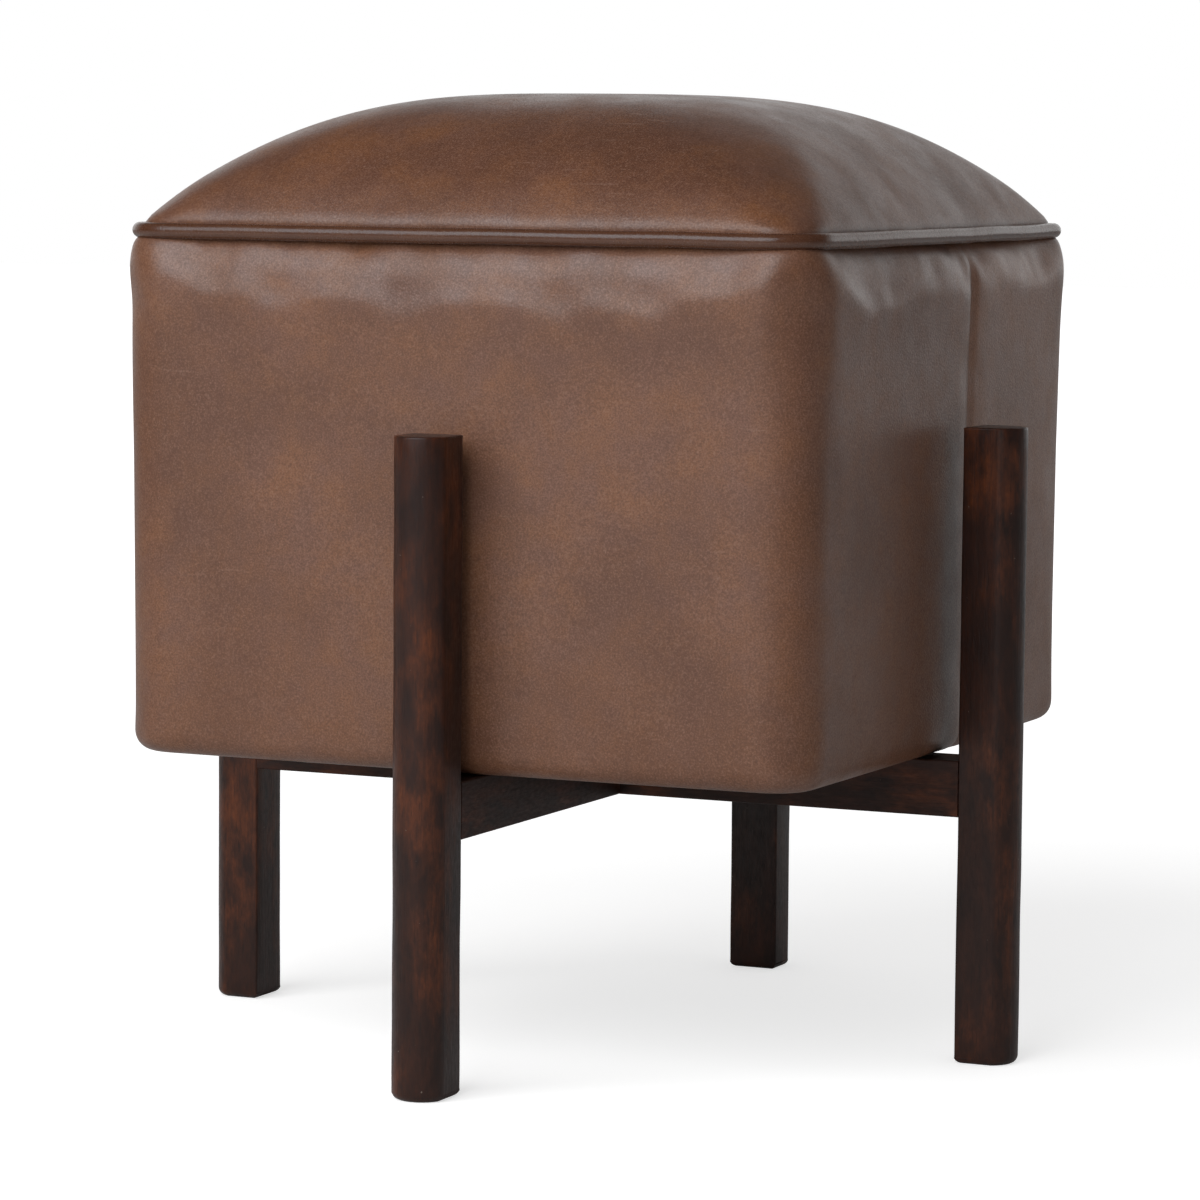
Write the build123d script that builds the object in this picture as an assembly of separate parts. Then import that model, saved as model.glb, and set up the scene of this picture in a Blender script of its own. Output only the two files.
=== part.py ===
from build123d import *
import math
import os

# A leather footstool: a domed, piped cushion box carried on two crossed wooden
# rails between four D-shaped legs. Millimetres, Z up, Z = 0 on the floor, with
# the origin under the middle of the seat. The front leg stands towards -Y and
# the right leg towards +X.

# Wooden stand
leg_height = 326.0
leg_width = 28.0
leg_side_depth = 20.0  # flat part of each side, outwards from the inner face
leg_nose = 9.0  # how far the rounded outer face stands beyond the flat sides
leg_gap = 11.0  # from a leg's inner face to the flat of the seat
leg_foot_round = 4.0
leg_top_round = 1.0
leg_edge_round = 0.8
rail_underside = 127.0  # height above the floor
rail_height = 29.0
rail_thickness = 28.0
rail_edge_round = 1.0
tenon_length = 16.0
tenon_height = 21.0
tenon_thickness = 12.0
joint_clearance = 0.1  # each side, in the mortises and the halved joint
mortise_end_room = 0.8  # glue room past the end of a tenon

# Leather outside. The widths are across the flats, and each set-in is the
# distance inwards from the flat of the seat on every side.
seat_width = 383.0  # at the fullest height of the sides, just below the piping
fullest_drop = 17.0  # from the piping down to the fullest height
waist_set_in = 1.5  # over the upper part of the walls
foot_set_in = 2.5  # just above the rounded bottom edge
seam_set_in = 4.5  # where the sides tuck under the piping
piping_set_in = 5.5  # to the middle line of the piping
crown_set_in = 6.5  # where the crown leaves the piping
corner_radius = 29.0  # at the fullest height
side_bow = 1.5  # how far the middle of a side stands out from its ends
bottom_edge_radius = 10.0
piping_height = 422.0  # middle of the piping above the floor
piping_diameter = 8.0
crown_rise = 66.0
crown_power = 3.5  # 2 would be a ball, more is flatter on top
crown_corner_power = 2.0  # how fast the corners open into a round towards the top
leather = 1.4
hem_width = 30.0  # leather turned under the base, inwards from the bottom edge
seam_gap = 0.4  # the butted side seams
seam_set_back = 24.0  # of the side seams behind the middle of the left and right sides

# Inside the cushion box
piping_cord_diameter = 4.8
wadding = 4.0
soft_gap = 0.3  # between soft layers
dust_cover_thickness = 0.8
dust_cover_inset = 11.0  # from the edge of the base
deck_cloth_thickness = 0.6
strap_width = 50.0
strap_thickness = 1.6
strap_margin = 28.0  # from the inner face of a panel to the first strap
strap_count = 4
strap_gap = 0.3  # between straps where they cross

# Plywood and posts
side_padding = 12.5  # from the flat of the seat to the carcass
panel_thickness = 12.0
base_thickness = 12.0
base_edge_radius = 3.0
post_width = 40.0
post_rebate = 18.0  # how far a panel's end laps over a post
deck_drop = 20.0  # from the piping down to the top of the carcass

# Screws
seat_screw_diameter = 5.0
seat_screw_head = 9.5
seat_screw_offset = 110.0  # from the middle of the stool
seat_screw_bite = 9.0  # into the base
panel_screw_diameter = 4.0
panel_screw_head = 7.6
panel_screw_length = 28.0
panel_screw_inset = 35.0  # from the ends of a panel's height
screw_stagger = 14.0  # between the screws of two panels in one post
base_screw_length = 32.0
screw_clearance = 0.1
hidden_screw_sides = 8  # facets of the screws that the upholstery covers
cut_overrun = 5.0  # cutting bodies reach this far past what they cut

# Sections of the crown, as shares of its half width
crown_station_shares = (1.0, 0.955, 0.89, 0.81, 0.71, 0.58, 0.43, 0.27, 0.12)
shoulder_station_shares = (0.0, 0.5, 1.0)  # of the turn from the fullest height to the seam
waist_share = 0.6  # of the height from the hem to the fullest height

# Places and sizes that follow
leg_spacing = seat_width + 2 * leg_gap  # between the inner faces of opposite legs
rail_top = rail_underside + rail_height
leg_face = leg_spacing / 2
waist_width = seat_width - 2 * waist_set_in
foot_width = seat_width - 2 * foot_set_in
seam_width = seat_width - 2 * seam_set_in
piping_spread = seat_width - 2 * piping_set_in
crown_width = seat_width - 2 * crown_set_in
carcass_width = seat_width - 2 * side_padding
dust_cover_width = carcass_width - 2 * dust_cover_inset
foot_corner = corner_radius - (seat_width - foot_width) / 2
carcass_corner = corner_radius - (seat_width - carcass_width) / 2
hem_underside = rail_top + dust_cover_thickness
base_underside = hem_underside + leather
base_top = base_underside + base_thickness
carcass_top = piping_height - deck_drop
piping_radius = piping_diameter / 2
fullest_height = piping_height - fullest_drop
side_top = piping_height - piping_radius - soft_gap
crown_foot = piping_height + piping_radius + soft_gap
shoulder_rise = side_top - fullest_height
shoulder_radius = (seam_set_in**2 + shoulder_rise**2) / (2 * seam_set_in)
shoulder_turn = math.degrees(math.asin(shoulder_rise / shoulder_radius))
strap_pitch = (carcass_width - 2 * (panel_thickness + strap_margin) - strap_width) / (strap_count - 1)
strap_wave = (strap_thickness + strap_gap) / 2
strap_middle = carcass_top + strap_thickness / 2
deck_cloth_underside = strap_middle + strap_wave + strap_thickness / 2 + strap_gap
deck_top = deck_cloth_underside + deck_cloth_thickness


def save(node, shape):
    """Write one node; a list of solids becomes one group."""
    solids = shape if isinstance(shape, list) else list(shape.solids())
    whole = solids[0] if len(solids) == 1 else Compound(children=solids)
    whole.label = node
    export_step(whole, os.path.join("parts", node + ".step"))


def bowed_square(width, corner, bow, height):
    """A square face with round corners whose sides bow outwards by `bow`."""
    half = width / 2
    bow = round(bow, 6)
    if bow:
        run = half - corner
        side_radius = (run**2 + bow**2) / (2 * bow)
        side_centre = half + bow - side_radius
        reach = side_radius - corner
        corner_centre = (side_centre + math.sqrt(2 * reach**2 - side_centre**2)) / 2
        along = side_radius * corner_centre / reach
        out = side_centre + side_radius * (corner_centre - side_centre) / reach
    else:
        corner_centre = half - corner
        along, out = corner_centre, half
    tip = corner_centre + corner / math.sqrt(2)
    edges = []
    for turn in (0, 90, 180, 270):
        start, end, crest, knuckle, turned = (
            Vector(x, y, height).rotate(Axis.Z, turn)
            for x, y in ((out, -along), (out, along), (half + bow, 0), (tip, tip), (along, out))
        )
        side = ThreePointArc(start, crest, end) if bow else Line(start, end)
        edges += [side, ThreePointArc(end, knuckle, turned)]
    return Face(Wire(edges))


def seat_outline(width, height, bow=side_bow):
    """The seat's rounded outline, drawn in or out to a width."""
    corner = max(corner_radius - (seat_width - width) / 2, bottom_edge_radius)
    return bowed_square(width, corner, bow, height)


def around_seat(section):
    """Carry a section round the foot line; its X points outwards and its Y up."""
    path = seat_outline(foot_width, 0).outer_wire()
    along = path % 0
    start = Plane(origin=path @ 0, x_dir=along.cross(Vector(0, 0, 1)), z_dir=-along)
    return sweep(start * section, path)


def skin_stack(stations, ruled=False):
    """One closed solid lofted through (width, corner, bow, height) stations."""
    return loft([bowed_square(*station) for station in stations], ruled=ruled)


def leg():
    """The front leg: a D section, flat towards the seat and round outside."""
    half = leg_width / 2
    depth = leg_side_depth + leg_nose
    outline = Polyline(
        (-half, -leg_side_depth), (-half, 0), (half, 0), (half, -leg_side_depth)
    ) + ThreePointArc((half, -leg_side_depth), (0, -depth), (-half, -leg_side_depth))
    body = extrude(make_face(outline), leg_height)
    body = fillet(body.edges().filter_by(Axis.Z), leg_edge_round)
    body = fillet(body.edges().group_by(Axis.Z)[-1], leg_top_round)
    body = fillet(body.edges().group_by(Axis.Z)[0], leg_foot_round)
    mortise = Box(
        tenon_thickness + 2 * joint_clearance,
        tenon_length + mortise_end_room + cut_overrun,
        tenon_height + 2 * joint_clearance,
        align=(Align.CENTER, Align.MIN, Align.CENTER),
    )
    place = Location((0, -tenon_length - mortise_end_room, rail_underside + rail_height / 2))
    body -= mortise.locate(place)
    return body.moved(Location((0, -leg_face, 0)))


def rail(lap_on_top):
    """The left-to-right rail, tenoned at both ends and halved in the middle."""
    body = Box(leg_spacing, rail_thickness, rail_height, align=(Align.CENTER, Align.CENTER, Align.MIN))
    body = fillet(body.edges().filter_by(Axis.X), rail_edge_round)
    tenons = Box(
        leg_spacing + 2 * tenon_length, tenon_thickness, tenon_height,
        align=(Align.CENTER, Align.CENTER, Align.CENTER),
    ).moved(Location((0, 0, rail_height / 2)))
    body += tenons
    lap = Box(
        rail_thickness + 2 * joint_clearance,
        rail_thickness + cut_overrun,
        rail_height / 2 + cut_overrun,
        align=(Align.CENTER, Align.CENTER, Align.MIN if lap_on_top else Align.MAX),
    ).moved(Location((0, 0, rail_height / 2)))
    body -= lap
    for side in (-1, 1):
        cutter = screw_hole(seat_screw_diameter, seat_screw_head, rail_height + cut_overrun)
        body -= cutter.moved(Location((side * seat_screw_offset, 0, 0)))
    return body.moved(Location((0, 0, rail_underside)))


def screw_stations(diameter, head, length):
    """(radius, height) up a countersunk screw from Z = 0 to the start of its tip."""
    sink = (head - diameter) / 2
    return [(head / 2, 0), (diameter / 2, sink), (diameter / 2, length - diameter)]


def screw(diameter, head, length):
    """A countersunk screw pointing up from Z = 0, with a tapered tip."""
    outline = screw_stations(diameter, head, length)
    face = make_face(Plane.XZ * Polyline((0, 0), *outline, (0, length), (0, 0)))
    return revolve(face, Axis.Z)


def screw_hole(diameter, head, length):
    """The countersunk hole for a screw, open below Z = 0."""
    grown = screw_clearance
    shank = Cylinder(diameter / 2 + grown, length + grown, align=(Align.CENTER, Align.CENTER, Align.MIN))
    sink = (head - diameter) / 2
    cone = Cone(
        head / 2 + grown, diameter / 2 + grown, sink, align=(Align.CENTER, Align.CENTER, Align.MIN)
    )
    return shank + cone


def facets(stations):
    """A ruled solid through (radius, height) stations, with the hidden screws' facets."""
    return loft(
        [Plane.XY.offset(height) * RegularPolygon(radius, hidden_screw_sides) for radius, height in stations],
        ruled=True,
    )


def hidden_screw(diameter, head, length):
    """A countersunk screw with few facets."""
    stations = screw_stations(diameter, head, length)
    tip = (diameter / hidden_screw_sides, length)
    return facets(stations + [tip])


def hidden_screw_hole(diameter, head, length):
    """The hole for a screw with few facets, open below Z = 0."""
    grown = screw_clearance
    stations = screw_stations(diameter, head, length)
    end = (diameter / 2 + grown, length + grown)
    return facets([(radius + grown, height) for radius, height in stations[:-1]] + [end])


def seat_screw_places():
    """Where the four screws go up through the rails."""
    for turn in (0, 90, 180, 270):
        yield Location((0, 0, rail_underside), (0, 0, turn)) * Location((seat_screw_offset, 0, 0))


def seat_screw_length():
    """From the underside of a rail into the base."""
    return base_underside - rail_underside + seat_screw_bite


def panel_screw_places():
    """Where the screws enter the panels, pointing inwards, two at each end."""
    across = carcass_width / 2 - post_width + post_rebate / 2
    low, high = base_top + panel_screw_inset, carcass_top - panel_screw_inset
    for turn in (0, 90, 180, 270):
        lift = 0 if turn in (0, 180) else screw_stagger
        for x in (-across, across):
            for z in (low + lift, high - lift):
                yield Location((0, 0, 0), (0, 0, turn)) * Location(
                    (x, -carcass_width / 2, z), (-90, 0, 0)
                )


def base_screw_places():
    """Where the screws go up through the base into the posts and panels."""
    post = carcass_width / 2 - post_width / 2
    panel = carcass_width / 2 - panel_thickness / 2
    for turn in (0, 90, 180, 270):
        for x, y in ((post, post), (panel, 0)):
            yield Location((0, 0, base_underside), (0, 0, turn)) * Location((x, y, 0))


def drill(body, places, cutter):
    """Cut the same hole at each place."""
    return body - [cutter.moved(place) for place in places]


def carcass_slab(bottom, top, inset):
    """A plain slab with the carcass outline, drawn in by `inset`."""
    face = bowed_square(carcass_width - 2 * inset, carcass_corner - inset, 0, bottom)
    return extrude(face, top - bottom, dir=(0, 0, 1))


def base_panel():
    """The plywood floor of the cushion box."""
    body = carcass_slab(base_underside, base_top, 0)
    body = fillet(body.edges().group_by(Axis.Z)[0], base_edge_radius)
    pilot = Cylinder(
        seat_screw_diameter / 2 + screw_clearance,
        seat_screw_length() + screw_clearance,
        align=(Align.CENTER, Align.CENTER, Align.MIN),
    )
    body = drill(body, seat_screw_places(), pilot)
    hole = hidden_screw_hole(panel_screw_diameter, panel_screw_head, base_screw_length)
    return drill(body, base_screw_places(), hole)


def carcass_panel(turn):
    """The front panel turned about Z: plywood let into the two posts."""
    length = carcass_width - 2 * (post_width - post_rebate)
    body = Box(
        length, panel_thickness, carcass_top - base_top, align=(Align.CENTER, Align.MIN, Align.MIN)
    ).moved(Location((0, -carcass_width / 2, base_top)))
    return finish_carcass(body.moved(Location((0, 0, 0), (0, 0, turn))))


def corner_post(turn):
    """The front left post turned about Z: rounded outside, rebated for the panels."""
    slab = carcass_slab(base_top, carcass_top, 0)
    corner = Box(
        post_width, post_width, carcass_top, align=(Align.MIN, Align.MIN, Align.MIN)
    ).moved(Location((-carcass_width / 2, -carcass_width / 2, 0)))
    body = slab & corner
    lap = post_rebate + cut_overrun
    for spin in (0, -90):
        place = (post_width - post_rebate - carcass_width / 2, panel_thickness - carcass_width / 2, 0)
        rebate = Box(
            lap, panel_thickness + cut_overrun, carcass_top + cut_overrun,
            align=(Align.MIN, Align.MAX, Align.MIN),
        ).moved(Location(place))
        if spin:
            rebate = rebate.mirror(Plane((0, 0, 0), x_dir=(1, 1, 0), z_dir=(1, -1, 0)))
        body -= rebate
    return finish_carcass(body.moved(Location((0, 0, 0), (0, 0, turn))))


def finish_carcass(body):
    """Drill a post or panel for every carcass screw that enters it."""
    hole = hidden_screw_hole(panel_screw_diameter, panel_screw_head, panel_screw_length)
    body = drill(body, panel_screw_places(), hole)
    hole = hidden_screw_hole(panel_screw_diameter, panel_screw_head, base_screw_length)
    return drill(body, base_screw_places(), hole)


def strap(index, skip):
    """One webbing strap along X, waving over and under those that cross it."""
    centres = [(place - (strap_count - 1) / 2) * strap_pitch for place in range(strap_count)]
    flat = strap_width / 2 + strap_gap
    end = carcass_width / 2 - strap_gap
    rest = carcass_width / 2 - panel_thickness
    line = [(-end, 0), (-rest, 0)]
    for place, centre in enumerate(centres):
        over = (place + index + skip) % 2 == 0
        level = strap_wave if over else -strap_wave
        line += [(centre - flat, level), (centre + flat, level)]
    line += [(rest, 0), (end, 0)]
    half = strap_thickness / 2
    upper = [(x, z + half) for x, z in line]
    lower = [(x, z - half) for x, z in reversed(line)]
    face = make_face(Plane.XZ * Polyline(*upper, *lower, close=True))
    body = extrude(face, strap_width / 2, both=True)
    return body.moved(Location((0, centres[index], strap_middle)))


def straps(turn):
    """All the straps of one direction; a quarter turn gives those they interlace with."""
    skip = strap_count % 2 if turn else 0
    place = Location((0, 0, 0), (0, 0, turn))
    return [strap(index, skip).moved(place) for index in range(strap_count)]


def deck_cloth():
    """The hessian over the webbing."""
    face = bowed_square(carcass_width - 2 * soft_gap, carcass_corner, 0, deck_cloth_underside)
    return extrude(face, deck_cloth_thickness, dir=(0, 0, 1))


def crown_stations(inset):
    """Stations of the crown's surface, moved inwards by `inset` along its normal."""
    half = crown_width / 2
    base_corner = corner_radius - (seat_width - crown_width) / 2
    start_share = base_corner / half
    stations = []
    for share in crown_station_shares:
        slope = crown_power * crown_rise * share ** (crown_power - 1) / half
        length = math.hypot(slope, 1)
        sideways, down = inset * slope / length, inset / length
        opening = start_share + (1 - start_share) * (1 - share) ** crown_corner_power
        height = crown_foot + crown_rise * (1 - share**crown_power) - down
        width = 2 * (half * share - sideways)
        bow = side_bow * share**crown_power
        stations.append((width, half * share * opening - sideways, bow, height))
    return stations


def stuffing_station(width, height):
    """A station of the stuffing's skirt and neck."""
    return (width, corner_radius - (seat_width - width) / 2, side_bow, height)


def cushion(inset):
    """The stuffing's outline: skirt past the deck, neck inside the piping, dome."""
    neck = piping_spread - piping_diameter - 2 * (inset - leather)
    radius = shoulder_radius - inset
    stations = [stuffing_station(seat_width - 2 * inset, fullest_height - cut_overrun)]
    for share in shoulder_station_shares:
        turned = math.radians(shoulder_turn) * share
        width = seat_width - 2 * shoulder_radius + 2 * radius * math.cos(turned)
        height = fullest_height + radius * math.sin(turned)
        stations.append(stuffing_station(width, height))
    stations += [stuffing_station(neck, height + soft_gap), stuffing_station(neck, crown_foot)]
    return skin_stack(stations + crown_stations(inset)[1:], ruled=True)


def on_deck(body):
    """Cut the stuffing off level with the top of the deck."""
    return split(body, Plane.XY.offset(deck_top), keep=Keep.TOP)


def leather_crown():
    """The top leather, from the piping up over the dome."""
    return skin_stack(crown_stations(0)) - skin_stack(crown_stations(leather))


def seat_wadding():
    """The soft layer between the foam and the leather."""
    outer = leather + soft_gap
    return on_deck(cushion(outer) - cushion(outer + wadding))


def seat_foam():
    """The domed foam block on the deck."""
    return on_deck(cushion(leather + wadding + 2 * soft_gap))


def side_profile(inset):
    """The sides' section from the hem to the seam, `inset` inside the leather."""
    edge = bottom_edge_radius
    fullest = (seat_width - foot_width) / 2 - inset
    waist = (waist_width - foot_width) / 2 - inset
    foot_height = hem_underside + edge
    waist_height = foot_height + waist_share * (fullest_height - foot_height)
    hem = Line((-edge - 2 * leather, hem_underside + inset), (-edge, hem_underside + inset))
    bottom = hem + CenterArc((-edge, foot_height), edge - inset, -90, 90)
    wall = Polyline((-inset, foot_height), (waist, waist_height), (fullest, fullest_height))
    centre = (fullest + inset - shoulder_radius, fullest_height)
    shoulder = CenterArc(centre, shoulder_radius - inset, 0, shoulder_turn)
    return bottom + wall + shoulder


def closed_section(outer, inner):
    """A face between two profiles that run the same way."""
    ends = Line(outer @ 0, inner @ 0) + Line(outer @ 1, inner @ 1)
    return make_face(outer + inner + ends)


def side_leather(front):
    """One piece of the side leather, turned under the base, seamed left and right."""
    shell = around_seat(closed_section(side_profile(0), side_profile(leather)))
    flat = foot_width - 2 * (bottom_edge_radius + leather)
    hem = seat_outline(flat, hem_underside) - seat_outline(flat - 2 * hem_width, hem_underside)
    shell += extrude(hem, leather, dir=(0, 0, 1))
    reach = seat_width + cut_overrun
    keep = Box(
        reach, reach, 2 * piping_height,
        align=(Align.CENTER, Align.MAX if front else Align.MIN, Align.CENTER),
    )
    side = -1 if front else 1
    return shell & keep.moved(Location((0, seam_set_back + side * seam_gap / 2, 0)))


def side_pad(turn):
    """The foam on the front panel turned about Z, mitred at the corners."""
    outer = side_profile(leather + soft_gap)
    back = Polyline(outer @ 1, ((outer @ 0).X, (outer @ 1).Y), outer @ 0)
    body = around_seat(make_face(outer + back))
    body -= carcass_slab(0, seat_width * 2, -soft_gap)
    reach = seat_width
    wedge = make_face(Polyline((0, 0), (-reach, -reach), (reach, -reach), close=True))
    body &= extrude(wedge, deck_top - soft_gap, dir=(0, 0, 1)).moved(Location((0, -soft_gap, 0)))
    return body.moved(Location((0, 0, 0), (0, 0, turn)))


def ring(diameter):
    """A round bead along the middle line of the piping."""
    path = seat_outline(piping_spread, piping_height).outer_wire()
    return sweep(Plane(origin=path @ 0, z_dir=path % 0) * Circle(diameter / 2), path)


def dust_cover():
    """Thin cloth under the base, with holes for the screws."""
    face = bowed_square(dust_cover_width, carcass_corner, 0, rail_top)
    body = extrude(face, dust_cover_thickness, dir=(0, 0, 1))
    hole = Cylinder(seat_screw_diameter / 2 + screw_clearance, rail_top)
    return drill(body, seat_screw_places(), hole)


def main():
    os.makedirs("parts", exist_ok=True)

    names = ("front", "right", "back", "left")
    front_leg, front_rail = leg(), rail(lap_on_top=False)
    for name, turn in zip(names, (0, 90, 180, 270)):
        save("leg_" + name, front_leg.moved(Location((0, 0, 0), (0, 0, turn))))
        save("carcass_panel_" + name, carcass_panel(turn))
        save("side_foam_" + name, side_pad(turn))
    for name, turn in zip(("front_left", "front_right", "back_right", "back_left"), (0, 90, 180, 270)):
        save("corner_post_" + name, corner_post(turn))
    save("rail_left_to_right", rail(lap_on_top=True))
    save("rail_front_to_back", front_rail.moved(Location((0, 0, 0), (0, 0, 90))))

    long_screw = screw(seat_screw_diameter, seat_screw_head, seat_screw_length())
    save("seat_screws", [long_screw.moved(place) for place in seat_screw_places()])
    panel_screw = hidden_screw(panel_screw_diameter, panel_screw_head, panel_screw_length)
    save("carcass_screws", [panel_screw.moved(place) for place in panel_screw_places()])
    base_screw = hidden_screw(panel_screw_diameter, panel_screw_head, base_screw_length)
    save("base_screws", [base_screw.moved(place) for place in base_screw_places()])

    save("base_panel", base_panel())
    save("webbing_left_to_right", straps(0))
    save("webbing_front_to_back", straps(90))
    save("deck_hessian", deck_cloth())
    save("seat_foam", seat_foam())
    save("seat_wadding", seat_wadding())
    save("leather_crown", leather_crown())
    save("leather_side_front", side_leather(front=True))
    save("leather_side_back", side_leather(front=False))
    cord = ring(piping_cord_diameter)
    save("piping_cord", cord)
    save("piping_leather", ring(piping_diameter) - ring(piping_cord_diameter + 2 * soft_gap))
    save("dust_cover", dust_cover())


main()
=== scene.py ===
"""A leather footstool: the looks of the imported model.

A domed, piped leather seat on two crossed rails between four D-shaped legs.
Metres, Z up, the origin on the floor under the middle of the seat. The front
leg stands towards -Y and the right leg towards +X.
"""

import logging
import math
from collections.abc import Callable, Iterator
from contextlib import contextmanager
from dataclasses import dataclass, field, replace
from enum import Enum
from typing import ClassVar

import bmesh
import bpy
from mathutils import Matrix, Vector, noise


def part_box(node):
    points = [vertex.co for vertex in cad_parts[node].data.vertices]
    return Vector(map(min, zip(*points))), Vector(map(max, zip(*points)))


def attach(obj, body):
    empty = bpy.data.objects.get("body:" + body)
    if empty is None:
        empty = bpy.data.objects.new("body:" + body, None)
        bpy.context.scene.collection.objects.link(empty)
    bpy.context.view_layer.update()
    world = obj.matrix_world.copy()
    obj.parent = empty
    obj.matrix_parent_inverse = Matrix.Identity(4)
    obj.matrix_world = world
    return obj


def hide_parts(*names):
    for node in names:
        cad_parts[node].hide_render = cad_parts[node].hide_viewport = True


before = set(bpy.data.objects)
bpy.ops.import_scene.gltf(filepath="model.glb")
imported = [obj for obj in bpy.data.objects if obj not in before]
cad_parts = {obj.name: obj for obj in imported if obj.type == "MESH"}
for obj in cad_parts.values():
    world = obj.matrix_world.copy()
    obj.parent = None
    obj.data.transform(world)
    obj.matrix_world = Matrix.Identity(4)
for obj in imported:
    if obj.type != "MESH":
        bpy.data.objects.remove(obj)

log = logging.getLogger("footstool")

ROOT_BODY = "root"
MM = 0.001
HAIR = 0.1 * MM  # Places nearer than this are the same place
TINY = 1e-6  # The same on the cube that the seat is drawn from
NOTHING = 1e-9  # A length under this is none
FACING = 0.9  # A normal with this much of an axis in it faces along that axis

Colour = tuple[float, float, float]
Triple = tuple[float, float, float]
Node = bpy.types.Node
Socket = bpy.types.NodeSocket
Tree = bpy.types.NodeTree
Object = bpy.types.Object
Material = bpy.types.Material

WHITE: Colour = (1.0, 1.0, 1.0)


class Side(Enum):
    """The four sides of the stool, by how far each is turned from the front."""

    FRONT = 0
    RIGHT = 1
    BACK = 2
    LEFT = 3

    @property
    def turn(self) -> Matrix:
        """The turn about Z that carries the front to this side."""
        return Matrix.Rotation(self.value * math.pi / 2, 4, "Z")

    @property
    def word(self) -> str:
        """The side's name, as the model's nodes spell it."""
        return self.name.lower()


# Small tools for modelling


def deselect_all() -> None:
    """Leave edit mode and deselect every object."""
    if bpy.context.object and bpy.context.object.mode != "OBJECT":
        bpy.ops.object.mode_set(mode="OBJECT")
    bpy.ops.object.select_all(action="DESELECT")


def only(obj: Object) -> None:
    """Make an object the only selected and the active one.

    Args:
        obj: The object to work on next.
    """
    deselect_all()
    obj.select_set(True)
    bpy.context.view_layer.objects.active = obj


@contextmanager
def editing(obj: Object) -> Iterator[None]:
    """Open a mesh in edit mode with nothing selected, and close it again.

    Args:
        obj: The mesh object to edit.
    """
    only(obj)
    bpy.ops.object.mode_set(mode="EDIT")
    bpy.ops.mesh.select_mode(type="FACE")
    bpy.ops.mesh.select_all(action="DESELECT")
    try:
        yield
    finally:
        bpy.ops.object.mode_set(mode="OBJECT")


def choose_edges(obj: Object, wanted: Callable[[Vector, Vector], bool]) -> None:
    """Select the edges, in edit mode, whose two ends pass a test.

    Args:
        obj: The object in edit mode.
        wanted: Takes both ends of an edge, and says whether it is selected.
    """
    bpy.ops.mesh.select_mode(type="EDGE")
    bpy.ops.mesh.select_all(action="DESELECT")
    mesh = bmesh.from_edit_mesh(obj.data)
    for edge in mesh.edges:
        edge.select_set(wanted(edge.verts[0].co, edge.verts[1].co))
    bmesh.update_edit_mesh(obj.data)


def choose_faces(obj: Object, wanted: Callable[[Vector, Vector], bool]) -> None:
    """Select the faces, in edit mode, that pass a test.

    Args:
        obj: The object in edit mode.
        wanted: Takes a face's middle and its normal, and says whether it is selected.
    """
    bpy.ops.mesh.select_mode(type="FACE")
    bpy.ops.mesh.select_all(action="DESELECT")
    mesh = bmesh.from_edit_mesh(obj.data)
    for face in mesh.faces:
        face.select_set(wanted(face.calc_center_median(), face.normal))
    bmesh.update_edit_mesh(obj.data)


def sculpt(obj: Object, move: Callable[[Vector, Vector], Vector]) -> None:
    """Move every vertex by a rule.

    Args:
        obj: The mesh object.
        move: Takes a vertex's place and normal, and gives its new place.
    """
    mesh = obj.data
    normals = [normal.vector for normal in mesh.vertex_normals]
    moved = [move(vertex.co, normal) for vertex, normal in zip(mesh.vertices, normals)]
    for vertex, place in zip(mesh.vertices, moved):
        vertex.co = place
    mesh.update()


def apply_modifier(obj: Object, kind: str, **settings: object) -> None:
    """Add a modifier, set it and apply it.

    Args:
        obj: The object to change.
        kind: Blender's name of the modifier.
        **settings: Values for the modifier's own properties.
    """
    modifier = obj.modifiers.new(kind.title(), kind)
    for name, value in settings.items():
        setattr(modifier, name, value)
    only(obj)
    bpy.ops.object.modifier_apply(modifier=modifier.name)


def smooth(obj: Object, degrees: float) -> None:
    """Shade an object smooth, with edges sharper than an angle left crisp."""
    only(obj)
    bpy.ops.object.shade_smooth_by_angle(angle=math.radians(degrees))


def block(size: Triple, place: Triple = (0.0, 0.0, 0.0)) -> Object:
    """Add a block, to be shaped further.

    Args:
        size: Its sizes along X, Y and Z.
        place: Its middle.

    Returns:
        The block, with its size and place in its mesh.
    """
    deselect_all()
    bpy.ops.mesh.primitive_cube_add(size=1.0)
    obj = bpy.context.object
    obj.scale = size
    obj.location = place
    bpy.ops.object.transform_apply(location=True, rotation=True, scale=True)
    return obj


def new_object(name: str, data: bpy.types.ID) -> Object:
    """Put an object into the scene.

    Args:
        name: The object's name.
        data: Its own mesh, curve, lamp or camera.

    Returns:
        The object.
    """
    obj = bpy.data.objects.new(name, data)
    bpy.context.collection.objects.link(obj)
    return obj


def settle(obj: Object, name: str, material: Material) -> None:
    """Finish a piece: apply its place, name it, dress it and fix it to the body.

    Args:
        obj: The finished mesh object.
        name: The piece's name.
        material: The finish.
    """
    only(obj)
    bpy.ops.object.transform_apply(location=True, rotation=True, scale=True)
    obj.name = name
    obj.data.name = name
    obj.data.materials.clear()
    obj.data.materials.append(material)
    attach(obj, ROOT_BODY)
    log.info("%s: %d faces", name, len(obj.data.polygons))


def lumps(place: Vector, size: float, shift: float = 0.0) -> float:
    """Smooth noise from -1 to 1 whose lumps are about `size` across."""
    return noise.noise(place / size + Vector((shift, -shift, 2 * shift)))


# Shader building


class Shared(Enum):
    """Shader groups that more than one finish uses."""

    LEATHER_GRAIN = "leather_grain"
    PATCHES = "patches"
    RUBBED_EDGES = "rubbed_edges"
    WOOD_GRAIN = "wood_grain"
    WEAVE = "weave"


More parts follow.
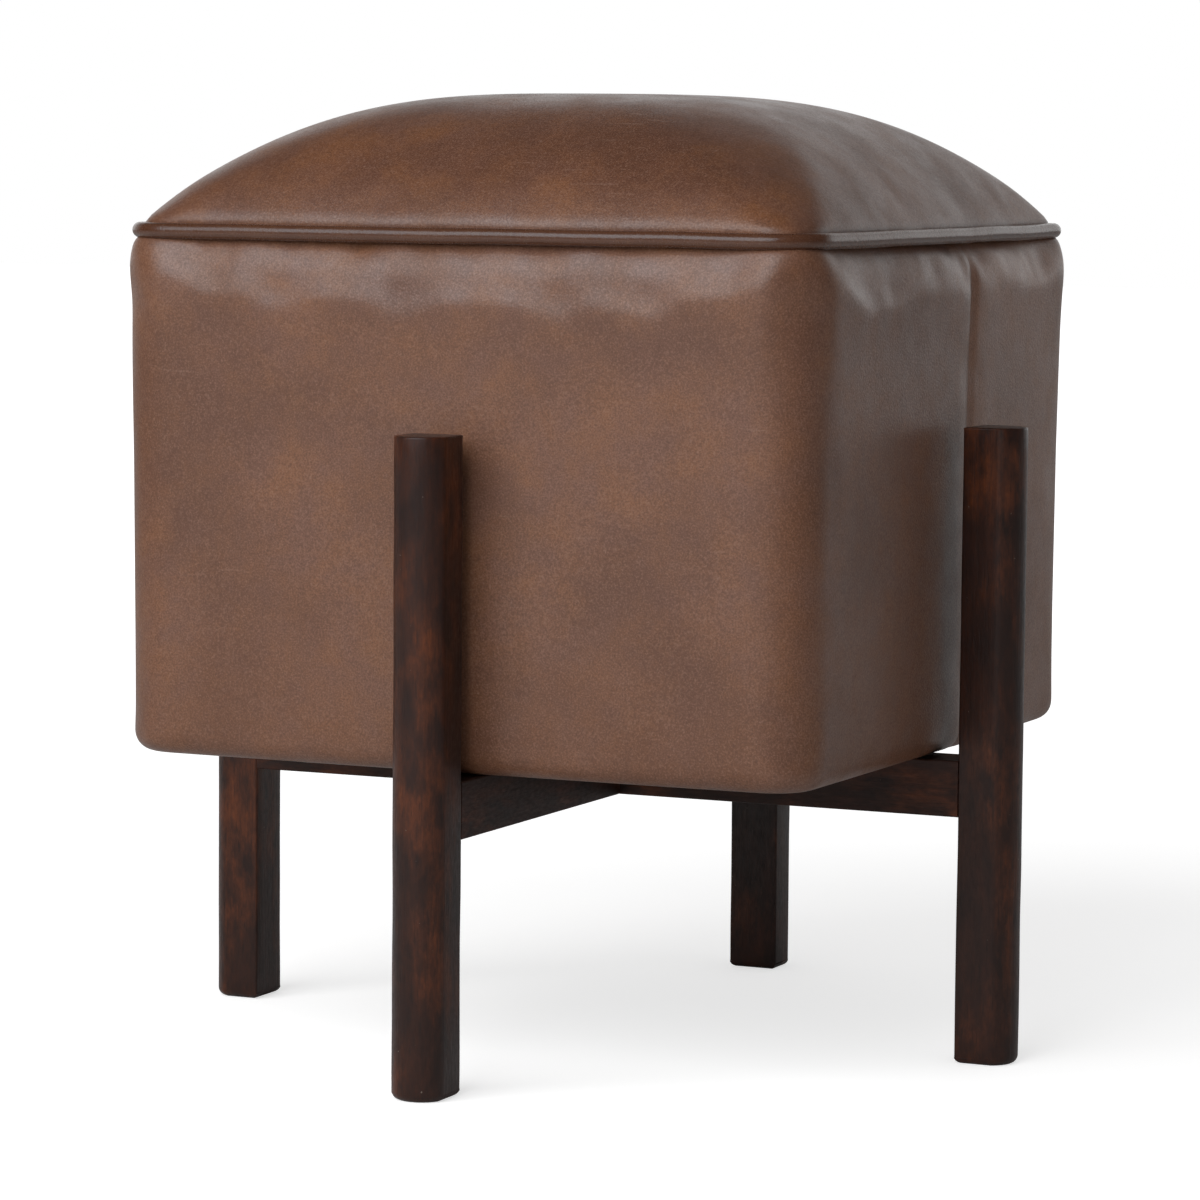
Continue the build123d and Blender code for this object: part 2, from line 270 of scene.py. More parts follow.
class Nodes:
    """Places and links the nodes of one shader tree."""

    ROW: ClassVar[int] = 8
    STEP: ClassVar[tuple[int, int]] = (220, -260)
    MIX_UNDER: ClassVar[int] = 6  # The Mix node's inputs and output for colours
    MIX_OVER: ClassVar[int] = 7
    MIX_RESULT: ClassVar[int] = 2

    def __init__(self, tree: Tree) -> None:
        """Keep the tree to fill, and start at its left edge."""
        self.tree = tree
        self.count = 0

    def add(self, kind: str, *values: object, **settings: object) -> Node:
        """Add a node, set its properties and fill its inputs in their order.

        Args:
            kind: Blender's identifier of the node.
            *values: What the inputs get, as `put` takes it.
            **settings: Values for the node's own properties.

        Returns:
            The new node.
        """
        node = self.tree.nodes.new(kind)
        column, row = self.count % self.ROW, self.count // self.ROW
        node.location = (self.STEP[0] * column, self.STEP[1] * row)
        self.count += 1
        for name, value in settings.items():
            setattr(node, name, value)
        for target, value in zip(node.inputs, values):
            self.put(target, value)
        return node

    def put(self, target: Socket, value: object) -> None:
        """Link a socket to an input, or write a plain value or colour there.

        Args:
            target: The input.
            value: A socket, a number, a vector, or a colour without its alpha.
        """
        if isinstance(value, bpy.types.NodeSocket):
            self.tree.links.new(value, target)
        elif target.type == "RGBA":
            target.default_value = (*value, 1.0)
        else:
            target.default_value = value

    def fill(self, node: Node, **values: object) -> Node:
        """Fill a node's inputs by name; an underscore stands for a space.

        Args:
            node: The node whose inputs are filled.
            **values: What each input gets, as `put` takes it.

        Returns:
            The same node.
        """
        for name, value in values.items():
            self.put(node.inputs[name.replace("_", " ")], value)
        return node

    def group(self, which: Shared, **values: object) -> dict[str, Socket]:
        """Place a shared group, fill its inputs and give its outputs by name."""
        node = self.fill(self.add("ShaderNodeGroup", node_tree=shared(which)), **values)
        return {socket.name: socket for socket in node.outputs}

    def math(self, operation: str, *numbers: Socket | float) -> Socket:
        """Combine one or two numbers, by Blender's name of the operation."""
        return self.add("ShaderNodeMath", *numbers, operation=operation).outputs[0]

    def times(self, first: Socket | float, second: Socket | float) -> Socket:
        """The product of two numbers."""
        return self.math("MULTIPLY", first, second)

    def vector(self, operation: str, *values: object) -> Node:
        """Combine vectors, by Blender's name of the operation."""
        return self.add("ShaderNodeVectorMath", *values, operation=operation)

    def layered(self, base: Colour, *layers: tuple[Socket, float, Colour]) -> Socket:
        """Lay colours over a base, one after the other.

        Args:
            base: The colour at the bottom.
            *layers: A mask, how strongly it shows, and its colour.

        Returns:
            The socket of the result.
        """
        colour: Socket | Colour = base
        for mask, strength, second in layers:
            node = self.add("ShaderNodeMix", data_type="RGBA", blend_type="MIX")
            self.put(node.inputs[0], self.times(mask, strength))
            self.put(node.inputs[self.MIX_UNDER], colour)
            self.put(node.inputs[self.MIX_OVER], second)
            colour = node.outputs[self.MIX_RESULT]
        return colour

    def spread(
        self, value: Socket, low: float, high: float, start: float = 0.0, end: float = 1.0
    ) -> Socket:
        """Lay the range from `low` to `high` over that from `start` to `end`, and clamp it."""
        return self.add("ShaderNodeMapRange", value, low, high, start, end, clamp=True).outputs[0]

    def noise(
        self,
        place: Socket,
        scale: Socket | float,
        detail: float = 2.0,
        rough: float = 0.5,
        bend: float = 0.0,
        result: str = "Fac",
    ) -> Socket:
        """Noise read at a place.

        Args:
            place: The coordinates, in metres.
            scale: Lumps per metre.
            detail: How many finer layers are added.
            rough: How strong the finer layers are.
            bend: How much the pattern is distorted.
            result: Fac for a number, about 0.3 to 0.7, or Color for three.

        Returns:
            The socket of the noise.
        """
        node = self.add("ShaderNodeTexNoise")
        self.fill(
            node, Vector=place, Scale=scale, Detail=detail, Roughness=rough, Distortion=bend
        )
        return node.outputs[result]

    def stretched(self, place: Socket, scale: Triple, turn: Triple = (0.0, 0.0, 0.0)) -> Socket:
        """Coordinates scaled and turned along the three axes, for grain and scratches."""
        node = self.fill(self.add("ShaderNodeMapping"), Vector=place, Scale=scale, Rotation=turn)
        return node.outputs[0]


def new_group(
    which: Shared, numbers: tuple[str, ...], masks: tuple[str, ...]
) -> tuple[Nodes, dict[str, Socket], Node]:
    """Start a shader node group that reads a place.

    Args:
        which: The group to start.
        numbers: The names of the other numbers going in.
        masks: The names of the values coming out.

    Returns:
        The group's node placer, what goes in by name, and its output node.
    """
    tree = bpy.data.node_groups.new(which.value, "ShaderNodeTree")
    sockets = [("Place", "INPUT", "NodeSocketVector")]
    sockets += [(name, "INPUT", "NodeSocketFloat") for name in numbers]
    sockets += [(name, "OUTPUT", "NodeSocketFloat") for name in masks]
    for name, way, kind in sockets:
        tree.interface.new_socket(name=name, in_out=way, socket_type=kind)
    nodes = Nodes(tree)
    start = {socket.name: socket for socket in nodes.add("NodeGroupInput").outputs}
    return nodes, start, nodes.add("NodeGroupOutput")


def leather_grain_group() -> Tree:
    """The pebbled grain of a hide: its height, painted shade in its pores and painted highlights
    on its crests.

    Returns:
        The group, with a place and a scale going in.
    """
    nodes, start, end = new_group(
        Shared.LEATHER_GRAIN, ("Scale",), ("Height", "Pores", "Crests")
    )
    place = start["Place"]
    wander = nodes.noise(place, scale=420.0, result="Color")
    reach = (1.1 * MM, 1.1 * MM, 1.1 * MM)
    shifted = nodes.vector("MULTIPLY_ADD", wander, reach, place).outputs[0]
    pebbles = nodes.add("ShaderNodeTexVoronoi", feature="F1", distance="EUCLIDEAN")
    nodes.fill(pebbles, Vector=shifted, Scale=start["Scale"])
    domed = nodes.spread(pebbles.outputs["Distance"], 0.15, 0.85, 1.0, 0.0)
    height = nodes.times(domed, 0.62)
    for scale, rough, share in ((2600.0, 0.6, 0.38), (160.0, 0.55, 0.8)):
        layer = nodes.noise(place, scale=scale, detail=3.0, rough=rough)
        height = nodes.math("ADD", height, nodes.times(layer, share))
    speck = nodes.noise(shifted, scale=1050.0, detail=3.0, rough=0.7)
    # Painted light: shade in the pores and highlights on the crests
    pores, crests = nodes.spread(speck, 0.48, 0.7), nodes.spread(speck, 0.5, 0.3)
    nodes.fill(end, Height=height, Pores=pores, Crests=crests)
    return nodes.tree


def patches_group() -> Tree:
    """Broad, medium and small patches, for the uneven colour of hide and stain.

    Returns:
        The group, with a place and a size factor going in.
    """
    nodes, start, end = new_group(Shared.PATCHES, ("Scale",), ("Broad", "Medium", "Small"))
    for name, scale, detail, low, high in (
        ("Broad", 11.0, 4.0, 0.42, 0.62),
        ("Medium", 42.0, 5.0, 0.38, 0.64),
        ("Small", 240.0, 4.0, 0.34, 0.68),
    ):
        layer = nodes.noise(start["Place"], nodes.times(start["Scale"], scale), detail, rough=0.6)
        nodes.put(end.inputs[name], nodes.spread(layer, low, high))
    return nodes.tree


def rubbed_edges_group() -> Tree:
    """Painted shade on a box: darker and warmer at its upright corners and towards its foot.

    Returns:
        The group, with a place, the box's half width and its foot's height going in.
    """
    nodes, start, end = new_group(Shared.RUBBED_EDGES, ("Half", "Foot"), ("Corners", "Low"))
    parts = nodes.add("ShaderNodeSeparateXYZ", start["Place"])
    across = [nodes.math("ABSOLUTE", parts.outputs[axis]) for axis in ("X", "Y")]
    inward = nodes.math("SUBTRACT", start["Half"], nodes.math("MINIMUM", *across))
    up = nodes.math("SUBTRACT", parts.outputs["Z"], start["Foot"])
    wander = nodes.times(nodes.noise(start["Place"], scale=24.0, detail=3.0), 0.03)
    # Painted shade: darker towards the upright corners and towards the foot
    for name, away, near, far in (("Corners", inward, 0.014, 0.048), ("Low", up, 0.012, 0.11)):
        mask = nodes.spread(nodes.math("ADD", away, wander), near, far, 1.0, 0.0)
        nodes.put(end.inputs[name], mask)
    return nodes.tree


def wood_grain_group() -> Tree:
    """Long grain along Z: figure, fine lines and open pores.

    Returns:
        The group, with a place going in.
    """
    nodes, start, end = new_group(Shared.WOOD_GRAIN, (), ("Figure", "Lines", "Pores"))
    for name, length, scale, detail, rough, bend, low, high in (
        ("Figure", 0.3, 85.0, 5.0, 0.62, 0.5, 0.36, 0.66),
        ("Lines", 0.05, 560.0, 3.0, 0.65, 0.3, 0.36, 0.66),
        ("Pores", 0.06, 1500.0, 1.0, 0.5, 0.0, 0.6, 0.72),
    ):
        along = nodes.stretched(start["Place"], (1.0, 1.0, length))
        layer = nodes.noise(along, scale, detail, rough, bend)
        nodes.put(end.inputs[name], nodes.spread(layer, low, high))
    return nodes.tree


def weave_group() -> Tree:
    """A plain weave of two sets of threads.

    Returns:
        The group, with a place and the thread count going in.
    """
    nodes, start, end = new_group(Shared.WEAVE, ("Threads",), ("Height", "Gaps"))
    parts = nodes.add("ShaderNodeSeparateXYZ", start["Place"])
    waves = []
    for axis in ("X", "Y"):
        turns = nodes.times(parts.outputs[axis], start["Threads"])
        waves.append(nodes.math("SINE", nodes.times(turns, math.pi)))
    raised = [nodes.math("ABSOLUTE", wave) for wave in waves]
    nodes.fill(
        end,
        Height=nodes.spread(nodes.times(*waves), -1.0, 1.0),
        Gaps=nodes.spread(nodes.times(*raised), 0.0, 0.12, 1.0, 0.0),
    )
    return nodes.tree


def shared(which: Shared) -> Tree:
    """A shared shader group, built when it is first asked for.

    Args:
        which: The group that is wanted.

    Returns:
        The group's tree.
    """
    builders = {
        Shared.LEATHER_GRAIN: leather_grain_group,
        Shared.PATCHES: patches_group,
        Shared.RUBBED_EDGES: rubbed_edges_group,
        Shared.WOOD_GRAIN: wood_grain_group,
        Shared.WEAVE: weave_group,
    }
    return bpy.data.node_groups.get(which.value) or builders[which]()


# Finishes


@dataclass(frozen=True)
class Finish:
    """What every finish has: a name and the shader values that don't vary."""

    name: str
    roughness: float = 0.5
    gloss: float = 0.5
    bump: float = 0.5
    depth: float = 0.0002

    def start(self) -> tuple[Material, Nodes, Node, Socket]:
        """Begin a material.

        Returns:
            The material, its node placer, its shader and the place socket.
        """
        material = bpy.data.materials.new(self.name)
        material.use_nodes = True
        nodes = Nodes(material.node_tree)
        shader = material.node_tree.nodes["Principled BSDF"]
        nodes.fill(shader, Roughness=self.roughness, Specular_IOR_Level=self.gloss)
        place = nodes.add("ShaderNodeTexCoord").outputs["Object"]
        return material, nodes, shader, place

    def raise_height(self, nodes: Nodes, shader: Node, height: Socket) -> None:
        """Bump the shader's normal, as strongly and as deeply as the finish says.

        Args:
            nodes: The material's node placer.
            shader: The shader whose normal is bumped.
            height: The height to bump it by.
        """
        node = nodes.add("ShaderNodeBump")
        nodes.fill(node, Strength=self.bump, Distance=self.depth, Height=height)
        nodes.fill(shader, Normal=node.outputs[0])


@dataclass(frozen=True)
class LeatherFinish(Finish):
    """Waxed brown hide: warm mottling, dark patches, fine scratches, painted shade and highlights.
    """

    base: Colour = (0.150, 0.072, 0.047)
    warm: Colour = (0.186, 0.074, 0.028)
    dark: Colour = (0.080, 0.034, 0.020)
    pale: Colour = (0.245, 0.145, 0.105)
    # The colour of the painted shade at the upright corners and the foot
    edge: Colour = (0.132, 0.049, 0.019)
    warm_share: float = 0.75
    patch_share: float = 0.62
    speckle_share: float = 0.28
    # How strongly the painted shade shows at the corners, and at the foot
    edge_share: float = 0.55
    foot_share: float = 0.7
    scratch_share: float = 0.3
    # How strongly the pores' painted shade and the crests' painted highlights show
    pore_share: float = 0.75
    crest_share: float = 0.42
    grain_scale: float = 820.0
    scratch_depth: float = 0.35
    bump: float = 0.55
    depth: float = 0.00016
    roughness_low: float = 0.32
    roughness_high: float = 0.42
    pore_roughness: float = 0.12
    wax: float = 0.16
    wax_roughness: float = 0.26
    sheen: float = 0.0
    sheen_roughness: float = 0.4
    box_half: float = 0.1915
    box_foot: float = 0.157

    def make(self) -> Material:
        """Build the material.

        Returns:
            The leather material.
        """
        material, nodes, shader, place = self.start()
        patches = nodes.group(Shared.PATCHES, Place=place, Scale=1.0)
        grain = nodes.group(Shared.LEATHER_GRAIN, Place=place, Scale=self.grain_scale)
        edges = nodes.group(
            Shared.RUBBED_EDGES, Place=place, Half=self.box_half, Foot=self.box_foot
        )
        scratches = self.scratches(nodes, place)
        broken = nodes.times(patches["Broad"], nodes.spread(patches["Small"], 0.0, 1.0, 0.7, 1.0))
        # Painted shade at the upright corners and the foot
        painted_shade = nodes.math("MAXIMUM", edges["Corners"], nodes.times(edges["Low"], self.foot_share))
        colour = nodes.layered(
            self.base,
            (patches["Medium"], self.warm_share, self.warm),
            (broken, self.patch_share, self.dark),
            (patches["Small"], self.speckle_share, self.dark),
            (painted_shade, self.edge_share, self.edge),
            (scratches, self.scratch_share, self.pale),
            # Painted shade in the pores and painted highlights on the crests
            (grain["Pores"], self.pore_share, self.dark),
            (grain["Crests"], self.crest_share, self.pale),
        )
        polish = nodes.spread(
            patches["Medium"], 0.0, 1.0, self.roughness_low, self.roughness_high
        )
        dull = nodes.times(grain["Pores"], self.pore_roughness)
        nodes.fill(
            shader,
            Base_Color=colour,
            Roughness=nodes.math("ADD", polish, dull),
            Coat_Weight=nodes.spread(patches["Broad"], 0.0, 1.0, self.wax, self.wax / 2),
            Coat_Roughness=self.wax_roughness,
            Sheen_Weight=self.sheen,
            Sheen_Roughness=self.sheen_roughness,
        )
        sunk = nodes.times(scratches, self.scratch_depth)
        self.raise_height(nodes, shader, nodes.math("SUBTRACT", grain["Height"], sunk))
        return material

    @staticmethod
    def scratches(nodes: Nodes, place: Socket) -> Socket:
        """Thin pale rub marks in two directions.

        Args:
            nodes: The material's node placer.
            place: The coordinates to read.

        Returns:
            The socket of the scratch mask.
        """
        masks = []
        for turn, stretch in ((0.5, (1.0, 0.07, 1.0)), (1.9, (0.06, 1.0, 0.9))):
            along = nodes.stretched(place, stretch, (turn, turn, turn))
            masks.append(nodes.spread(nodes.noise(along, scale=330.0, bend=0.4), 0.685, 0.76))
        rare = nodes.spread(nodes.noise(place, scale=14.0), 0.44, 0.6)
        return nodes.times(nodes.math("MAXIMUM", *masks), rare)


@dataclass(frozen=True)
class WoodFinish(Finish):
    """Hardwood under a dark walnut stain, rubbed to a satin."""

    deep: Colour = (0.0145, 0.0068, 0.0054)
    middle: Colour = (0.036, 0.0125, 0.0075)
    red: Colour = (0.120, 0.031, 0.0090)
    speck: Colour = (0.16, 0.13, 0.11)
    shade_share: float = 0.45
    pore_share: float = 0.6
    patch_scale: float = 2.4
    patch_stretch: Triple = (1.0, 1.0, 0.42)
    turn: Triple = (0.0, 0.0, 0.0)
    bump: float = 0.35
    depth: float = 0.00012
    polished: float = 0.06  # How much smoother than the rest the sleekest places are
    dull: float = 0.1  # How much rougher the dullest are

    def make(self) -> Material:
        """Build the material; the grain runs along Z unless it is turned.

        Returns:
            The wood material.
        """
        material, nodes, shader, place = self.start()
        place = nodes.stretched(place, (1.0, 1.0, 1.0), self.turn)
        grain = nodes.group(Shared.WOOD_GRAIN, Place=place)
        drawn = nodes.stretched(place, self.patch_stretch)
        patches = nodes.group(Shared.PATCHES, Place=drawn, Scale=self.patch_scale)
        lined = nodes.spread(grain["Lines"], 0.0, 1.0, 0.6, 1.0)
        here = nodes.spread(patches["Broad"], 0.2, 0.9, 0.1, 1.0)
        blotches = nodes.times(nodes.times(patches["Medium"], lined), here)
        specks = nodes.spread(nodes.noise(place, scale=420.0, detail=1.0), 0.785, 0.82)
        colour = nodes.layered(
            self.deep,
            (grain["Figure"], 1.0, self.middle),
            (blotches, 1.0, self.red),
            (patches["Small"], self.shade_share, self.deep),
            (specks, 1.0, self.speck),
            (grain["Pores"], self.pore_share, self.deep),
        )
        low, high = self.roughness - self.polished, self.roughness + self.dull
        rough = nodes.spread(patches["Small"], 0.0, 1.0, low, high)
        nodes.fill(shader, Base_Color=colour, Roughness=rough)
        height = nodes.math("SUBTRACT", grain["Lines"], grain["Pores"])
        self.raise_height(nodes, shader, height)
        return material


@dataclass(frozen=True)
class ClothFinish(Finish):
    """A woven cloth, plain or coarse."""

    thread: Colour = (0.02, 0.02, 0.02)
    gap: Colour = (0.004, 0.004, 0.004)
    threads: float = 1400.0
    bump: float = 0.6

    def make(self) -> Material:
        """Build the material.

        Returns:
            The cloth material.
        """
        material, nodes, shader, place = self.start()
        weave = nodes.group(Shared.WEAVE, Place=place, Threads=self.threads)
        uneven = nodes.noise(place, scale=260.0, detail=3.0, rough=0.6)
        slub = nodes.spread(uneven, 0.3, 0.7, 0.75, 1.15)
        tint = nodes.vector("SCALE", nodes.layered(self.thread, (weave["Gaps"], 1.0, self.gap)))
        nodes.fill(tint, Scale=slub)
        nodes.fill(shader, Base_Color=tint.outputs[0])
        self.raise_height(nodes, shader, weave["Height"])
        return material


@dataclass(frozen=True)
class PlainFinish(Finish):
    """Softwood, plywood or steel, each with its own speckle."""

    colour: Colour = (0.5, 0.5, 0.5)
    second: Colour = (0.4, 0.4, 0.4)
    scale: float = 300.0
    metal: float = 0.0
    bump: float = 0.4
    polished: float = 0.05
    dull: float = 0.1

    def make(self) -> Material:
        """Build the material.

        Returns:
            The material.
        """
        material, nodes, shader, place = self.start()
        speckle = nodes.noise(place, self.scale, detail=4.0, rough=0.6)
        share = nodes.spread(speckle, 0.35, 0.65)
        low, high = self.roughness - self.polished, self.roughness + self.dull
        nodes.fill(
            shader,
            Metallic=self.metal,
            Base_Color=nodes.layered(self.colour, (share, 1.0, self.second)),
            Roughness=nodes.spread(speckle, 0.3, 0.7, low, high),
        )
        self.raise_height(nodes, shader, speckle)
        return material


HIDE = LeatherFinish("hide", gloss=0.42)
CROWN_HIDE = replace(
    HIDE,
    name="crown_hide",
    base=(0.134, 0.058, 0.034),
    warm=(0.166, 0.059, 0.016),
    dark=(0.070, 0.026, 0.013),
    patch_share=0.75,
    edge_share=0.0,
    sheen=0.06,
    scratch_share=0.5,
)
# A lighter copy of the hide for the back piece: painted light, where the strip behind the side
# seams shows lighter
LIT_BACK_HIDE = replace(
    HIDE,
    name="back_hide",
    base=(0.186, 0.087, 0.053),
    warm=(0.216, 0.092, 0.041),
    dark=(0.100, 0.043, 0.025),
)
PIPING_HIDE = replace(
    HIDE,
    name="piping_hide",
    base=(0.058, 0.021, 0.0105),
    warm=(0.076, 0.028, 0.0115),
    pale=(0.15, 0.085, 0.055),
    gloss=0.40,
    roughness_low=0.18,
    roughness_high=0.25,
    wax=0.15,
    wax_roughness=0.15,
    edge_share=0.0,
)
STAIN = WoodFinish("walnut_stain", roughness=0.34, gloss=0.3)
RAIL_STAIN = replace(
    STAIN, name="rail_stain_x", roughness=0.42, gloss=0.25, turn=(0.0, math.pi / 2, 0.0)
)
DUST_CLOTH = ClothFinish("dust_cloth", 0.9, threads=1500, depth=0.00012)
STAPLE_WIRE = PlainFinish(
    "staple_wire", 0.3, colour=(0.62, 0.62, 0.62), second=(0.45, 0.45, 0.46), metal=1.0
)
ZINC = PlainFinish("zinc", 0.35, colour=(0.6, 0.6, 0.6), second=(0.4, 0.4, 0.42), metal=1.0)
PLYWOOD = PlainFinish("plywood", 0.6, colour=(0.45, 0.3, 0.17), second=(0.36, 0.23, 0.12))
SOFTWOOD = PlainFinish("softwood", 0.6, colour=(0.5, 0.34, 0.18), second=(0.4, 0.26, 0.13))
JUTE = ClothFinish(
    "jute_webbing", 0.9, thread=(0.3, 0.2, 0.1), gap=(0.08, 0.05, 0.02), threads=700
)
HESSIAN = ClothFinish(
    "hessian", 0.9, thread=(0.34, 0.25, 0.14), gap=(0.1, 0.07, 0.03), threads=600
)

# Which finish the CAD nodes that stay get, by the start of their names
SOLID_FINISHES = (
    (RAIL_STAIN, ("rail_left",)),
    (replace(RAIL_STAIN, name="rail_stain_y", turn=(math.pi / 2, 0.0, 0.0)), ("rail_front",)),
    (ZINC, ("seat_screws",)),
    (replace(ZINC, name="zinc_hidden", second=(0.4, 0.4, 0.4)), ("carcass_screws", "base_screws")),
    (PLYWOOD, ("base_panel", "carcass_panel")),
    (SOFTWOOD, ("corner_post",)),
    (JUTE, ("webbing",)),
    (HESSIAN, ("deck_hessian",)),
)


# The leather seat


@dataclass
class SeatOutline:
    """The seat's rounded square, seen from above, drawn in or out at will."""

    half: float
    corner: float
    bow: float

    def place(self, share: float, drawn: float = 0.0) -> Vector:
        """A point on the front of the outline.

        Args:
            share: From -1 at the left corner's middle to 1 at the right one's.
            drawn: How far the outline is drawn out, inwards if negative.

        Returns:
            The point, for the front, facing -Y.
        """
        half = self.half + drawn
        corner = max(self.corner + drawn, 2 * MM)
        run = half - corner
        along = abs(share) * (run + corner * math.pi / 4)
        if along <= run:
            across, out = along, half + self.bow * (1 - (along / run) ** 2)
        else:
            turned = (along - run) / corner
            across = run + corner * math.sin(turned)
            out = run + corner * math.cos(turned)
        return Vector((-across if share < 0 else across, -out, 0))


@dataclass
class LeatherSeat:
    """The stuffed leather seat: crown, two side leathers and their seams."""

    PIECES: ClassVar[dict[str, tuple[LeatherFinish, tuple[str, ...]]]] = {
        "crown_leather": (CROWN_HIDE, ("leather_crown", "seat_wadding", "seat_foam")),
        "side_leather_front": (HIDE, ("leather_side_front", "side_foam_front")),
        "side_leather_back": (
            LIT_BACK_HIDE,
            ("leather_side_back", "side_foam_back", "side_foam_left", "side_foam_right"),
        ),
    }
    SPARE: ClassVar[str] = "spare"
    PUCKERS: ClassVar[tuple[Triple, ...]] = ((1.0, 0.030, 5.0), (0.6, 0.013, 9.0))
    CLOTH: ClassVar[dict[str, object]] = {
        "quality": 6,
        "mass": 0.35,
        "tension_stiffness": 30,
        "compression_stiffness": 20,
        "shear_stiffness": 12,
        "bending_stiffness": 3.0,
        "air_damping": 2.0,
        "use_pressure": True,
        "uniform_pressure_force": 4.0,
        "vertex_group_mass": "held",
        "shrink_min": -0.011,
    }

    divisions: int = 76
    side_bow: float = 0.0015
    shoulder_rise: float = 0.0190
    shoulder_power: float = 2.6
    shoulder_in: float = 0.0092
    tuck_uneven: float = 0.0026
    side_evenness: float = 0.25
    corner_tuck: float = 0.0020
    corner_power: int = 4
    seam_in: float = 0.0102
    waist_in: float = 0.0015
    waist_share: float = 0.6
    foot_in: float = 0.0025
    edge_radius: float = 0.010
    round_steps: int = 10
    corner: float = 0.029
    crown_in: float = 0.0065
    crown_power: float = 3.8
    crown_corner_power: float = 0.85
    seam_back: float = 0.024
    seam_depth: float = 0.0022
    seam_fade: float = 0.02
    seam_start: float = 0.25
    seam_near: float = 0.0012
    under_near: float = 0.0015
    side_share: float = 0.9
    leather: float = 0.0014
    hem: float = 0.030
    wall_swell: float = 0.0006
    seam_swell: float = 0.0016
    swell_reach: float = 0.018
    smoothings: int = 3
    crown_smoothings: int = 4
    frames: int = 20
    body: Object = field(init=False)

    def __post_init__(self) -> None:
        """Read the heights and widths from the frame."""
        low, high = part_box("leather_side_front")
        piping_low, piping_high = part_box("piping_leather")
        crown_low, crown_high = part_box("leather_crown")
        self.half = high.x - self.side_bow
        self.bottom = low.z
        self.side_top = high.z
        self.seam_height = (piping_low.z + piping_high.z) / 2
        self.crown_foot = crown_low.z
        self.crown_top = crown_high.z
        self.fullest = self.side_top - self.shoulder_rise
        self.outline = SeatOutline(self.half, self.corner, self.side_bow)
        self.column = 2 * self.half / self.divisions

    def tuck(self, side: Side, along: float) -> float:
        """How far the shoulder is drawn in under the piping, more in some places.

        Args:
            side: The side of the seat.
            along: From -1 to 1 along that side.

        Returns:
            The distance in from the fullest half.
        """
        seam = side.turn @ Vector((along * self.half, -self.half, 0))
        uneven = self.tuck_uneven * sum(
            share * lumps(seam, size, shift) for share, size, shift in self.PUCKERS
        )
        if side in (Side.RIGHT, Side.LEFT):
            uneven *= self.side_evenness
        full = along**self.corner_power
        return (self.shoulder_in + uneven) * (1 - full) + self.corner_tuck * full

    def section(self, tuck: float) -> list[tuple[float, float]]:
        """The sides' section from the seam down to the bottom edge.

        Args:
            tuck: How far the shoulder is drawn in at its top.

        Returns:
            Points as (distance out from the fullest half, height).
        """
        steps = self.round_steps
        points = [(-self.seam_in, self.seam_height)]
        for step in range(steps, -1, -1):
            up = step / steps
            out = -tuck * up**self.shoulder_power
            points.append((out, self.fullest + self.shoulder_rise * up))
        foot = self.bottom + self.edge_radius
        points.append((-self.waist_in, foot + self.waist_share * (self.fullest - foot)))
        points.append((-self.foot_in, foot))
        for step in range(1, steps + 1):
            angle = math.pi / 2 * step / steps
            out = -self.foot_in - self.edge_radius * (1 - math.cos(angle))
            points.append((out, foot - self.edge_radius * math.sin(angle)))
        return points

    @staticmethod
    def along_section(points: list[tuple[float, float]], share: float) -> tuple[float, float]:
        """Find the point at a share of a polyline's length.

        Args:
            points: The polyline.
            share: From 0 at its start to 1 at its end.

        Returns:
            The point.
        """
        lengths = [math.dist(a, b) for a, b in zip(points, points[1:])]
        left = share * sum(lengths)
        for a, b, length in zip(points, points[1:], lengths):
            if left <= length:
                part = left / length
                return a[0] + (b[0] - a[0]) * part, a[1] + (b[1] - a[1]) * part
            left -= length
        return points[-1]

    def crown_place(self, share: float, along: float) -> Vector:
        """A point of the crown.

        Args:
            share: From 0 at the top's middle to 1 at the seam.
            along: From -1 to 1 along the front of the ring.

        Returns:
            The point, for the front.
        """
        first = 1 - 1.0 / (self.divisions / 2)
        if share > first + TINY:
            point = self.outline.place(along, -self.seam_in)
            return Vector((point.x, point.y, self.seam_height))
        level = share / first
        half = self.half - self.crown_in
        start = (self.corner - self.crown_in) / half
        opening = start + (1 - start) * (1 - level) ** self.crown_corner_power
        bow = self.side_bow * level**self.crown_power
        point = SeatOutline(half * level, half * level * opening, bow).place(along)
        rise = self.crown_top - self.crown_foot
        height = self.crown_foot + rise * (1 - level**self.crown_power)
        return Vector((point.x, point.y, height))

    def side_place(
        self, side: Side, along: float, points: list[tuple[float, float]], share: float
    ) -> Vector:
        """A point of the sides, drawn in where a side seam runs down.

        Args:
            side: The side of the seat.
            along: From -1 to 1 along that side.
            points: The section there.
            share: From 0 at the seam under the piping to 1 at the bottom edge.

        Returns:
            The point, on its own side.
        """
        out, height = self.along_section(points, share)
        flat = self.outline.place(along, out)
        point = side.turn @ Vector((flat.x, flat.y, height))
        near_seam = abs(point.y - self.seam_back) < self.column / 2
        if side in (Side.RIGHT, Side.LEFT) and near_seam:
            fade = (self.side_top - height) / self.seam_fade + self.seam_start
            sunk = max(self.seam_depth * min(1.0, fade), 0.0)
            return Vector((point.x * (1 - sunk / abs(point.x)), self.seam_back, height))
        return point

    def shape_body(self) -> None:
        """Model the closed seat: a cube, divided, and its faces drawn to the form."""
        self.body = block((2.0, 2.0, 2.0))
        with editing(self.body):
            bpy.ops.mesh.select_all(action="SELECT")
            bpy.ops.mesh.subdivide(number_cuts=self.divisions - 1)
        sections: dict[tuple[Side, float], list[tuple[float, float]]] = {}

